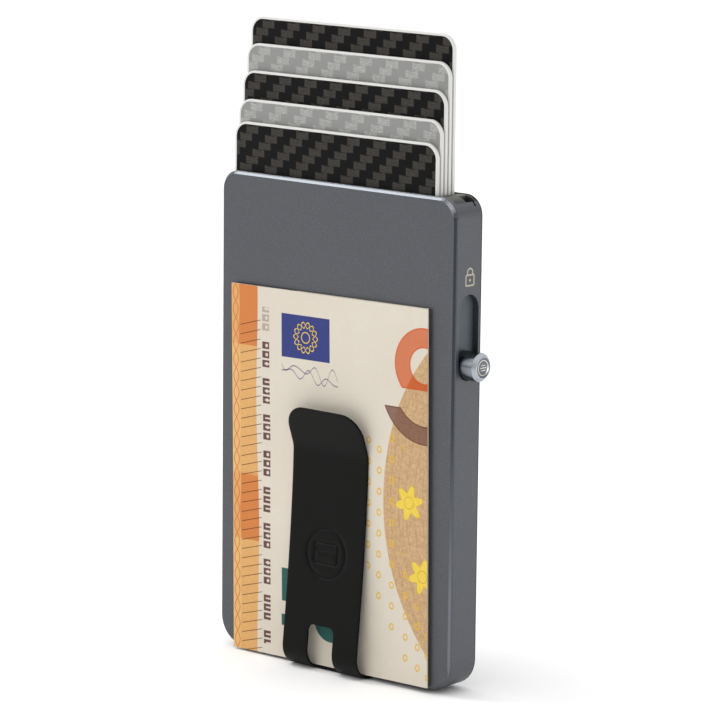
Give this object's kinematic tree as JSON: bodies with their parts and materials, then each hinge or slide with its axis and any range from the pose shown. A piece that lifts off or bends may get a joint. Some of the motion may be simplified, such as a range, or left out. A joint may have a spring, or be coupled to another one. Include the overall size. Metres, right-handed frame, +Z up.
{
  "type": "card wallet",
  "caption": "Flat metal card wallet with cards fanned out of its mouth by a side slider, and a spring clip that holds a folded banknote.",
  "frame": {"origin": "on the standing plane, centred on the case in X and Y, under the clip's foot", "axes": "+Z up towards the cards' mouth, +Y out of the back cover, +X towards the slide knob"},
  "size_m": [0.0664, 0.0128, 0.1319],
  "materials": {
    "grey_aluminium": "anodised, satin",
    "knob_aluminium": "brushed",
    "steel": "satin",
    "black_steel": "black oxide, satin",
    "liner_plastic": "matte",
    "brass": "brass, satin",
    "felt": "felt",
    "card_black": "printed, semi-gloss",
    "card_grey": "printed, semi-gloss",
    "note_paper": "printed cotton paper"
  },
  "bodies": {
    "case": {"front_shell": "grey_aluminium", "back_cover": "grey_aluminium", "side_rail": "liner_plastic", "card_ledge": "liner_plastic", "detent_spring": "steel", "pivot_screw": "steel", "lever_bush": "brass", "lever_washer_front": "steel", "lever_washer_rear": "steel", "friction_pad_front": "felt", "friction_pad_rear": "felt", "cover_screw_lower": "steel", "cover_screw_upper": "steel", "clip_foot": "black_steel", "clip_screw_left": "black_steel", "clip_screw_right": "black_steel"},
    "slider": {"slider_plate": "steel", "slide_knob": "knob_aluminium", "knob_screw": "steel", "drive_bracket": "steel", "drive_pin": "steel"},
    "lever": {"ejector_lever": "liner_plastic"},
    "card_1": {"card_1": "card_black"},
    "card_2": {"card_2": "card_grey"},
    "card_3": {"card_3": "card_black"},
    "card_4": {"card_4": "card_grey"},
    "card_5": {"card_5": "card_black"},
    "clip": {"clip_blade": "black_steel"},
    "note": {"banknote": "note_paper"}
  },
  "joints": [
    {"name": "slider_travel", "type": "slide", "parent": "case", "child": "slider", "axis": [0, 0, 1], "range_m": [0, 0.0111]},
    {"name": "lever_pivot", "type": "hinge", "parent": "case", "child": "lever", "pos_m": [0.01715, 0, 0.01035], "axis": [0, 1, 0], "range_deg": [-60, 0]},
    {"name": "card_1_lift", "type": "slide", "parent": "case", "child": "card_1", "axis": [0, 0, 1], "range_m": [-0.0105, 0]},
    {"name": "card_2_lift", "type": "slide", "parent": "case", "child": "card_2", "axis": [0, 0, 1], "range_m": [-0.01505, 0]},
    {"name": "card_3_lift", "type": "slide", "parent": "case", "child": "card_3", "axis": [0, 0, 1], "range_m": [-0.0208, 0]},
    {"name": "card_4_lift", "type": "slide", "parent": "case", "child": "card_4", "axis": [0, 0, 1], "range_m": [-0.0263, 0]},
    {"name": "card_5_lift", "type": "slide", "parent": "case", "child": "card_5", "axis": [0, 0, 1], "range_m": [-0.0317, 0]},
    {"name": "clip_flex", "type": "hinge", "parent": "case", "child": "clip", "pos_m": [0, -0.00813, 0.00485], "axis": [1, 0, 0], "range_deg": [0, 5], "stiffness_Nm_per_rad": 6},
    {"name": "note_pull", "type": "slide", "parent": "case", "child": "note", "axis": [0, 0, 1], "range_m": [0, 0.105]}
  ],
  "couplings": [
    {"joint": "lever_pivot", "follows": "slider_travel", "rad_per_m": -94.185},
    {"joint": "card_1_lift", "follows": "slider_travel", "ratio": -0.9455},
    {"joint": "card_2_lift", "follows": "slider_travel", "ratio": -1.3554},
    {"joint": "card_3_lift", "follows": "slider_travel", "ratio": -1.8734},
    {"joint": "card_4_lift", "follows": "slider_travel", "ratio": -2.3689},
    {"joint": "card_5_lift", "follows": "slider_travel", "ratio": -2.8554}
  ]
}
